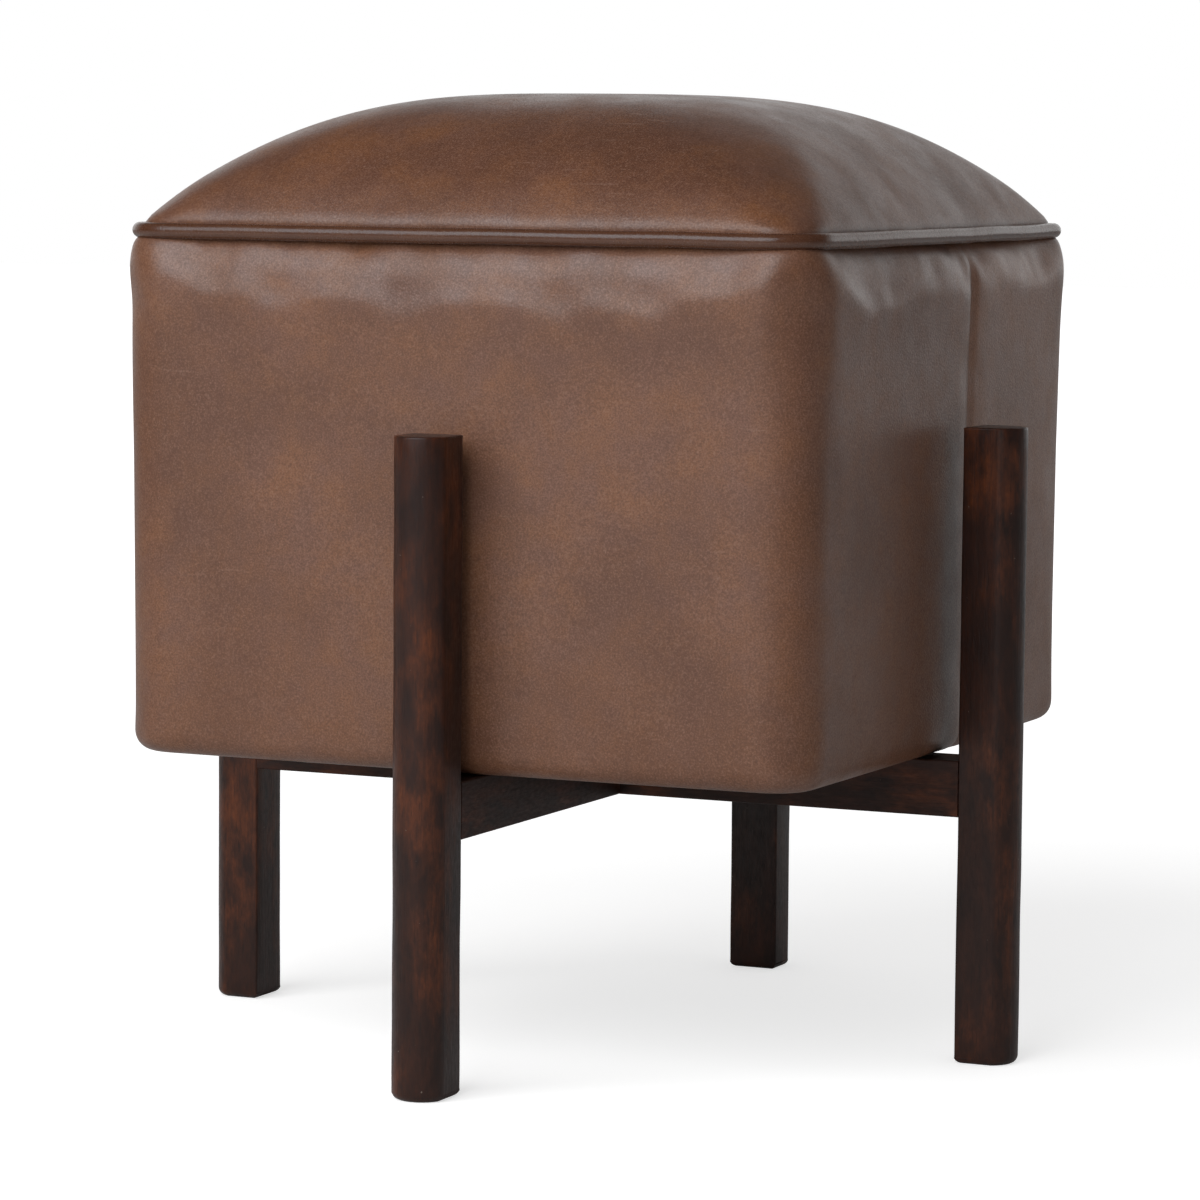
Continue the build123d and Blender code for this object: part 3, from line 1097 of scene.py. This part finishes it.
        def form(place: Vector, _: Vector) -> Vector:
            """Find where a point of the cube comes on the seat.

            Args:
                place: The point, each coordinate from -1 to 1.
                _: Its normal, which isn't used.

            Returns:
                The point on the seat.
            """
            x, y, z = place
            side = self.side_of(x, y)
            front = side.turn.inverted() @ Vector((x, y, z))
            level = max(abs(x), abs(y))
            along = front.x / level if level > NOTHING else 0.0
            if z > 1 - TINY:
                return side.turn @ self.crown_place(level, along)
            if z < TINY - 1:
                flat = self.outline.place(along, -(self.foot_in + self.edge_radius))
                return side.turn @ Vector((flat.x * level, flat.y * level, self.bottom))
            column = (side, round(along, 5))
            if column not in sections:
                sections[column] = self.section(self.tuck(*column))
            return self.side_place(side, along, sections[column], (1 - z) / 2)

        sculpt(self.body, form)
        self.mark_parts()

    @staticmethod
    def side_of(x: float, y: float) -> Side:
        """Find the side that a place in plan belongs to.

        Args:
            x: How far the place is to the right.
            y: How far it is to the back.

        Returns:
            The side.
        """
        if abs(y) >= abs(x):
            return Side.FRONT if y < 0 else Side.BACK
        return Side.RIGHT if x > 0 else Side.LEFT

    def mark_parts(self) -> None:
        """Give each leather piece its own material number, to part them later."""
        names = (*self.PIECES, self.SPARE)
        for name in names:
            self.body.data.materials.append(bpy.data.materials.new(name))
        crown, front, back, spare = range(len(names))
        opening = self.half - self.foot_in - self.edge_radius - self.hem
        for face in self.body.data.polygons:
            middle = face.center
            underneath = face.normal.z < -FACING
            if middle.z > self.seam_height:
                part = crown
            elif underneath and max(abs(middle.x), abs(middle.y)) < opening:
                part = spare
            else:
                part = front if middle.y < self.seam_back else back
            face.material_index = part

    def pin_weights(self) -> None:
        """Hold the seams and the underside; the rest is free."""
        group = self.body.vertex_groups.new(name="held")
        for vertex in self.body.data.vertices:
            x, y, z = vertex.co
            level = abs(z - self.seam_height) < self.seam_near
            at_seam = level and max(abs(x), abs(y)) < self.half
            underside = z < self.bottom + self.under_near
            on_side = abs(x) > self.half * self.side_share and z < self.side_top
            side_seam = abs(y - self.seam_back) < MM and on_side
            if at_seam or underside or side_seam:
                group.add([vertex.index], 1.0, "REPLACE")

    def inflate(self) -> None:
        """Let cloth under pressure settle between the held seams."""
        self.pin_weights()
        start = [vertex.co.copy() for vertex in self.body.data.vertices]
        cloth = self.body.modifiers.new("Cloth", "CLOTH")
        for name, value in self.CLOTH.items():
            setattr(cloth.settings, name, value)
        cloth.settings.effector_weights.gravity = 0.0
        cloth.point_cache.frame_start = 1
        cloth.point_cache.frame_end = self.frames
        scene = bpy.context.scene
        for number in range(1, self.frames + 1):
            scene.frame_set(number)
        only(self.body)
        bpy.ops.object.modifier_apply(modifier=cloth.name)
        scene.frame_set(1)
        moves = self.even_out(start, self.hold_back(start))
        for vertex, before, move in zip(self.body.data.vertices, start, moves):
            vertex.co = before + move
        self.body.data.update()

    def cap(self, before: Vector) -> float:
        """How far the cloth may move a point: freest a little way from the seams.

        Args:
            before: Where the point was.

        Returns:
            The longest move.
        """
        reach = 0.0
        if before.z > self.seam_height:
            reach = max(self.half - max(abs(before.x), abs(before.y)), 0.0)
        away = math.hypot(before.z - self.seam_height, reach) / self.swell_reach
        near_seam = self.seam_swell * away**2 * math.exp(2 - 2 * away)
        return self.wall_swell * min(1.0, away) + near_seam

    def hold_back(self, start: list[Vector]) -> list[Vector]:
        """Cap each point's move.

        Args:
            start: The places before the cloth ran.

        Returns:
            The capped moves.
        """
        vertices = self.body.data.vertices
        moves = [vertex.co - before for vertex, before in zip(vertices, start)]
        longest = max(move.length for move in moves) / MM
        log.info("cloth moved up to %.1f mm before the cap", longest)
        for number, (move, before) in enumerate(zip(moves, start)):
            cap = self.cap(before)
            if move.length > cap:
                moves[number] = move * (cap / move.length)
        return moves

    def even_out(self, start: list[Vector], moves: list[Vector]) -> list[Vector]:
        """Draw each free point's move halfway to its neighbours', over and over.

        Args:
            start: The places before the cloth ran.
            moves: The capped moves.

        Returns:
            The evened moves; the last rounds change the crown alone.
        """
        mesh = self.body.data
        held = {vertex.index for vertex in mesh.vertices if len(vertex.groups)}
        beside: list[list[int]] = [[] for _ in mesh.vertices]
        for edge in mesh.edges:
            first, second = edge.vertices
            beside[first].append(second)
            beside[second].append(first)
        for round_number in range(self.smoothings + self.crown_smoothings):
            if round_number == self.smoothings:
                held |= {n for n, before in enumerate(start) if before.z < self.seam_height}
            moves = [
                move
                if number in held
                else move.lerp(sum((moves[n] for n in near), Vector()) / len(near), 0.5)
                for number, (move, near) in enumerate(zip(moves, beside))
            ]
        return moves

    def part_pieces(self) -> dict[str, Object]:
        """Cut the seat along its seams into the leather pieces.

        Returns:
            The pieces by name.
        """
        with editing(self.body):
            bpy.ops.mesh.select_all(action="SELECT")
            bpy.ops.mesh.separate(type="MATERIAL")
        pieces = {}
        for piece in list(bpy.context.selected_objects):
            number = piece.data.polygons[0].material_index
            pieces[piece.data.materials[number].name] = piece
        bpy.data.objects.remove(pieces.pop(self.SPARE), do_unlink=True)
        return pieces

    def build(self) -> None:
        """Build the leather pieces, dress them and set them in the model's place."""
        self.shape_body()
        self.inflate()
        apply_modifier(self.body, "SUBSURF", levels=1, render_levels=1)
        for name, piece in sorted(self.part_pieces().items()):
            finish, nodes = self.PIECES[name]
            apply_modifier(piece, "SOLIDIFY", thickness=self.leather, offset=-1.0, use_rim=True)
            smooth(piece, degrees=60)
            settle(piece, name, finish.make())
            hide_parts(*nodes)


@dataclass
class Piping:
    """The leather roll sewn in between the crown and the sides."""

    corner: float = 0.0235
    side_bow: float = 0.0015
    steps: int = 96
    bevel_steps: int = 7
    lift: float = 0.00035
    lump: float = 0.045
    lump_shift: float = 3.0

    def build(self) -> None:
        """Draw a round section along the seam."""
        low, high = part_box("piping_leather")
        radius = (high.z - low.z) / 2
        line = SeatOutline(high.x - radius - self.side_bow, self.corner, self.side_bow)
        curve = bpy.data.curves.new("piping", "CURVE")
        curve.dimensions = "3D"
        spline = curve.splines.new("POLY")
        spline.points.add(len(Side) * self.steps - 1)
        for number, control in enumerate(spline.points):
            side, step = Side(number // self.steps), number % self.steps
            place = side.turn @ line.place(-1 + 2 * step / self.steps)
            lift = self.lift * lumps(place, self.lump, self.lump_shift)
            control.co = (place.x, place.y, (low.z + high.z) / 2 + lift, 1.0)
        spline.use_cyclic_u = True
        curve.bevel_depth = radius
        curve.bevel_resolution = self.bevel_steps
        only(new_object("piping", curve))
        bpy.ops.object.convert(target="MESH")
        obj = bpy.context.object
        smooth(obj, degrees=60)
        settle(obj, "piping", PIPING_HIDE.make())
        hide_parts("piping_leather", "piping_cord")


@dataclass
class WoodenStand:
    """Four D-shaped legs; the crossed rails keep their CAD solids."""

    nose_steps: int = 12
    foot_round: float = 0.004
    top_round: float = 0.0011
    edge_round: float = 0.0012
    nose_round: float = 0.0021
    flat_depth: float = 0.020
    rows: int = 26
    unevenness: float = 0.0003
    lump: float = 0.035
    shift_step: float = 10.0
    tenon: tuple[float, float] = (0.012, 0.021)
    joint_room: float = 0.0001
    overcut: float = 0.0008

    def leg(self) -> Object:
        """Model the front leg.

        Returns:
            The leg, facing -Y, in its place.
        """
        low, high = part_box("leg_front")
        width, height = high.x - low.x, high.z - low.z
        back, nose = high.y, low.y
        middle = (0, back - self.flat_depth / 2, height / 2)
        leg = block((width, self.flat_depth, height), middle)
        half, flat = width / 2, back - self.flat_depth
        with editing(leg):
            choose_edges(
                leg, lambda a, b: max(abs(a.y - flat), abs(b.y - flat), abs(a.z - b.z)) < MM
            )
            bpy.ops.mesh.subdivide(number_cuts=self.nose_steps - 1)
        reach = flat - nose
        radius = (half**2 + reach**2) / (2 * reach)

        def bulge(place: Vector, _: Vector) -> Vector:
            """Push a point on the flat front out to the round nose.

            Args:
                place: A point of the block.
                _: Its normal, which isn't used.

            Returns:
                Its new place; behind the front, the same one.
            """
            if abs(place.y - flat) > HAIR:
                return place.copy()
            out = math.sqrt(max(radius**2 - place.x**2, 0)) - (radius - reach)
            return Vector((place.x, flat - out, place.z))

        def upright(a: Vector, b: Vector, line: float) -> bool:
            """Tell whether an edge runs up the leg's side at a depth.

            Args:
                a: One end of the edge.
                b: Its other end.
                line: The depth, along Y.

            Returns:
                True if it does.
            """
            long = abs(a.z - b.z) > height / 2
            at_side = all(abs(abs(end.x) - half) < HAIR for end in (a, b))
            return long and at_side and abs(a.y - line) < HAIR

        sculpt(leg, bulge)
        with editing(leg):
            for wanted, offset, segments in (
                (lambda a, b: max(a.z, b.z) < MM, self.foot_round, 5),
                (lambda a, b: min(a.z, b.z) > height - MM, self.top_round, 3),
                (lambda a, b: upright(a, b, flat), self.nose_round, 4),
                (lambda a, b: upright(a, b, back), self.edge_round, 4),
            ):
                choose_edges(leg, wanted)
                bpy.ops.mesh.bevel(offset=offset, segments=segments, profile=0.5)
            for row in range(1, self.rows):
                bpy.ops.mesh.select_all(action="SELECT")
                bpy.ops.mesh.bisect(plane_co=(0, 0, height * row / self.rows), plane_no=(0, 0, 1))
        return leg

    def wander(self, leg: Object, shift: float) -> None:
        """Take the machine's straightness off a leg.

        Args:
            leg: The leg to change.
            shift: Where in the noise this leg's unevenness is read.
        """

        def move(place: Vector, normal: Vector) -> Vector:
            """A point moved in or out by the noise."""
            level = Vector((normal.x, normal.y, 0))
            return place + level * (self.unevenness * lumps(place, self.lump, shift))

        sculpt(leg, move)

    def mortise(self, leg: Object) -> None:
        """Cut the front leg's mortise around its rail's tenon.

        Args:
            leg: The front leg.
        """
        _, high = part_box("leg_front")
        rail_low, rail_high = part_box("rail_front_to_back")
        across, up = (size / 2 + self.joint_room for size in self.tenon)
        middle = (rail_low.z + rail_high.z) / 2
        deep = high.y - rail_low.y + self.overcut
        with editing(leg):
            for place, way in (
                ((across, 0, 0), (1, 0, 0)),
                ((-across, 0, 0), (1, 0, 0)),
                ((0, 0, middle + up), (0, 0, 1)),
                ((0, 0, middle - up), (0, 0, 1)),
            ):
                bpy.ops.mesh.select_all(action="SELECT")
                bpy.ops.mesh.bisect(plane_co=place, plane_no=way)
            choose_faces(
                leg,
                lambda centre, normal: normal.y > FACING
                and abs(centre.x) < across
                and abs(centre.z - middle) < up,
            )
            bpy.ops.mesh.extrude_region_move(TRANSFORM_OT_translate={"value": (0, -deep, 0)})

    def build(self) -> None:
        """Build and dress the four legs."""
        material = STAIN.make()
        first = self.leg()
        for side in Side:
            leg = new_object(side.word, first.data.copy())
            self.wander(leg, self.shift_step * side.value)
            self.mortise(leg)
            leg.data.transform(side.turn)
            smooth(leg, degrees=35)
            settle(leg, f"leg_{side.word}_stained", material)
            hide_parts(f"leg_{side.word}")
        bpy.data.objects.remove(first, do_unlink=True)


@dataclass
class Underside:
    """What shows from below: the dust cover, drawn taut and stapled to the base."""

    cuts: int = 55
    thickness: float = 0.0005
    sag: float = 0.0011
    sag_run: float = 0.02
    edge_room: float = 0.012
    rail_room: float = 0.018
    ripple: float = 0.4
    ripple_size: float = 0.045
    ripple_shift: float = 7.0
    staple: Triple = (0.0095, 0.0007, 0.0005)
    staple_round: float = 0.0002
    staple_in: float = 0.006
    staple_sunk: float = 0.0001
    staple_pitch: float = 0.031
    staple_tilt: float = 0.16
    tilt_size: float = 0.02

    def dust_cover(self) -> None:
        """Stretch the cloth between its staples, a little slack between the rails."""
        low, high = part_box("dust_cover")
        wide = high.x - low.x
        half = wide / 2
        deselect_all()
        bpy.ops.mesh.primitive_plane_add(size=wide, location=(0, 0, (low.z + high.z) / 2))
        cover = bpy.context.object
        bpy.ops.object.transform_apply(location=True, rotation=True, scale=True)
        with editing(cover):
            bpy.ops.mesh.select_all(action="SELECT")
            bpy.ops.mesh.subdivide(number_cuts=self.cuts)

        def slacken(place: Vector, _: Vector) -> Vector:
            """Let a point of the cloth down, unless it is at a rail or a staple.

            Args:
                place: A point of the cloth.
                _: Its normal, which isn't used.

            Returns:
                Its new place.
            """
            free = 1.0
            for away in (abs(place.x), abs(place.y)):
                inward = min(away - self.rail_room, half - self.edge_room - away) / self.sag_run
                free *= max(0.0, min(1.0, inward))
            soft = free * free * (3 - 2 * free)
            uneven = lumps(place, self.ripple_size, self.ripple_shift)
            ripple = (1 - self.ripple) + self.ripple * uneven
            return place - Vector((0, 0, self.sag * soft * ripple))

        sculpt(cover, slacken)
        apply_modifier(cover, "SOLIDIFY", thickness=self.thickness, offset=0.0)
        smooth(cover, degrees=60)
        settle(cover, "dust_cover_cloth", DUST_CLOTH.make())
        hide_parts("dust_cover")

    def staples(self) -> None:
        """Set a row of staples along each edge, clear of the rails, as one piece."""
        low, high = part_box("dust_cover")
        half = (high.x - low.x) / 2 - self.staple_in
        first = block(self.staple)
        with editing(first):
            choose_edges(first, lambda a, b: abs(a.x - b.x) < HAIR and a.z * b.z < 0)
            bpy.ops.mesh.bevel(offset=self.staple_round, segments=2)
        made = []
        count = int(half / self.staple_pitch)
        for side in Side:
            for step in range(-count, count + 1):
                along = step * self.staple_pitch
                if abs(along) < self.rail_room:
                    continue
                turned = self.staple_tilt * lumps(Vector((along, side.value, 0)), self.tilt_size)
                tilt = Matrix.Rotation(turned, 4, "Z")
                place = Matrix.Translation((along, -half, low.z - self.staple_sunk))
                made.append(new_object("staple", first.data.copy()))
                made[-1].data.transform(side.turn @ place @ tilt)
        bpy.data.objects.remove(first, do_unlink=True)
        only(made[0])
        for staple in made:
            staple.select_set(True)
        bpy.ops.object.join()
        settle(bpy.context.object, "staples", STAPLE_WIRE.make())

    def build(self) -> None:
        """Build the staples and the dust cover."""
        self.staples()
        self.dust_cover()


# The studio


@dataclass
class Studio:
    """The pale floor, the soft lights and the camera of the photograph."""

    lens: float = 146.587
    sensor: float = 36.0
    place: Triple = (1.058642, -2.334001, 0.474496)
    yaw: float = 24.494
    pitch: float = 5.504
    roll: float = 0.471
    far_clip: float = 50.0
    aim: Triple = (0.0, 0.0, 0.3)
    room: float = 0.38
    room_gloss: float = 0.03
    backdrop_gloss: float = 1.05
    backdrop_facing: Triple = (-0.30, 0.95, 0.0)
    backdrop_edge: tuple[float, float] = (0.32, 0.76)
    backdrop_height: tuple[float, float] = (0.22, 0.56)
    floor_size: float = 24.0
    floor_colour: Colour = (0.66, 0.66, 0.66)
    floor_roughness: float = 0.9
    floor_gloss: float = 0.1
    floor_glow: float = 0.62
    glow_reach: tuple[float, float] = (0.5, 2.2)
    key_turn: float = 14.0
    key_height: float = 30.0
    key_distance: float = 2.2
    key_size: tuple[float, float] = (2.3, 1.8)
    key_power: float = 49.0
    panel_height: float = 34.5
    panel_size: tuple[float, float] = (2.0, 1.64)
    panel_power: float = 29.0
    panel_tint: Colour = (0.80, 1.0, 1.12)

    def camera(self) -> None:
        """Place the camera as the photograph has it."""
        yaw, pitch, roll = (math.radians(v) for v in (self.yaw, self.pitch, self.roll))
        level = Vector((-math.sin(yaw), math.cos(yaw), 0))
        forward = level * math.cos(pitch) + Vector((0, 0, -math.sin(pitch)))
        right = Vector((math.cos(yaw), math.sin(yaw), 0))
        up = right.cross(forward)
        turned_right = right * math.cos(roll) + up * math.sin(roll)
        turned_up = up * math.cos(roll) - right * math.sin(roll)
        data = bpy.data.cameras.new("photo")
        data.lens = self.lens
        data.sensor_width = self.sensor
        data.sensor_fit = "HORIZONTAL"
        data.clip_end = self.far_clip
        camera = new_object("photo", data)
        turn = Matrix((turned_right, turned_up, -forward)).transposed().to_4x4()
        camera.matrix_world = Matrix.Translation(self.place) @ turn
        bpy.context.scene.camera = camera

    def floor(self) -> None:
        """A wide pale floor that keeps the stool's shadow."""
        deselect_all()
        bpy.ops.mesh.primitive_plane_add(size=self.floor_size, location=(0, 0, 0))
        floor = bpy.context.object
        floor.name = "floor"
        finish = Finish("floor", self.floor_roughness, self.floor_gloss)
        material, nodes, shader, place = finish.start()
        nodes.fill(shader, Base_Color=self.floor_colour)
        far = nodes.vector("LENGTH", place).outputs["Value"]
        lift = nodes.spread(far, *self.glow_reach, self.floor_glow, 1.0)
        seen = nodes.add("ShaderNodeLightPath").outputs["Is Camera Ray"]
        glow = nodes.add("ShaderNodeEmission")
        nodes.fill(glow, Color=WHITE, Strength=nodes.times(seen, lift))
        both = nodes.add("ShaderNodeAddShader", shader.outputs[0], glow.outputs[0])
        nodes.fill(material.node_tree.nodes["Material Output"], Surface=both.outputs[0])
        floor.data.materials.append(material)

    def world(self) -> None:
        """White for the eye, a pale backdrop for reflections and a dim room as a light."""
        world = bpy.data.worlds.new("studio")
        bpy.context.scene.world = world
        world.use_nodes = True
        nodes = Nodes(world.node_tree)
        path = nodes.add("ShaderNodeLightPath").outputs
        seen = nodes.math("MAXIMUM", path["Is Camera Ray"], path["Is Transmission Ray"])
        way = nodes.add("ShaderNodeTexCoord").outputs["Generated"]
        wall = Vector(self.backdrop_facing).normalized()
        facing = nodes.vector("DOT_PRODUCT", way, wall).outputs["Value"]
        height = nodes.add("ShaderNodeSeparateXYZ", way).outputs["Z"]
        low = nodes.spread(height, *self.backdrop_height, 1.0, 0.0)
        pale = nodes.times(nodes.spread(facing, *self.backdrop_edge), low)
        pale = nodes.spread(pale, 0.0, 1.0, self.room_gloss, self.backdrop_gloss)
        shown = nodes.math("ADD", seen, nodes.times(path["Is Glossy Ray"], pale))
        either = nodes.math("MAXIMUM", seen, path["Is Glossy Ray"])
        other = nodes.times(nodes.math("SUBTRACT", 1.0, either), self.room)
        nodes.fill(
            world.node_tree.nodes["Background"],
            Color=WHITE,
            Strength=nodes.math("ADD", shown, other),
        )

    def lamp(self, name: str, height: float, size: tuple[float, float], power: float) -> Object:
        """Hang one soft box before the stool, to the left.

        Args:
            name: The lamp's name.
            height: Its angle above the floor, in degrees.
            size: Its width and height.
            power: Its power in watts.

        Returns:
            The lamp, pointed at the stool.
        """
        turn, up = math.radians(self.key_turn), math.radians(height)
        level = Vector((-math.sin(turn), -math.cos(turn), 0)) * math.cos(up)
        way = level + Vector((0, 0, math.sin(up)))
        data = bpy.data.lights.new(name, "AREA")
        data.shape = "RECTANGLE"
        data.size, data.size_y = size
        data.energy = power
        lamp = new_object(name, data)
        lamp.location = Vector(self.aim) + way * self.key_distance
        lamp.rotation_euler = (-way).to_track_quat("-Z", "Y").to_euler()
        lamp.visible_camera = False
        return lamp

    def build(self) -> None:
        """Set up floor, world, lamps and camera."""
        self.floor()
        self.world()
        key = self.lamp("key", self.key_height, self.key_size, self.key_power)
        key.visible_glossy = False
        panel = self.lamp("panel", self.panel_height, self.panel_size, self.panel_power)
        panel.visible_diffuse = False
        panel.data.color = self.panel_tint
        self.camera()
        bpy.context.scene.view_settings.view_transform = "Standard"


def dress_solids() -> None:
    """Give each CAD node that stays the finish of its kind, by the start of its name."""
    for finish, starts in SOLID_FINISHES:
        material = finish.make()
        for name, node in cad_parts.items():
            if name.startswith(starts) and not node.hide_render:
                node.data.materials.clear()
                node.data.materials.append(material)
                log.info("%s: %s", name, finish.name)


def main() -> None:
    """Build every sub-assembly, the studio and the camera."""
    logging.basicConfig(level=logging.INFO, format="%(message)s")
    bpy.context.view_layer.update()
    for assembly in (LeatherSeat(), Piping(), WoodenStand(), Underside()):
        assembly.build()
    dress_solids()
    Studio().build()


if __name__ == "__main__":
    main()
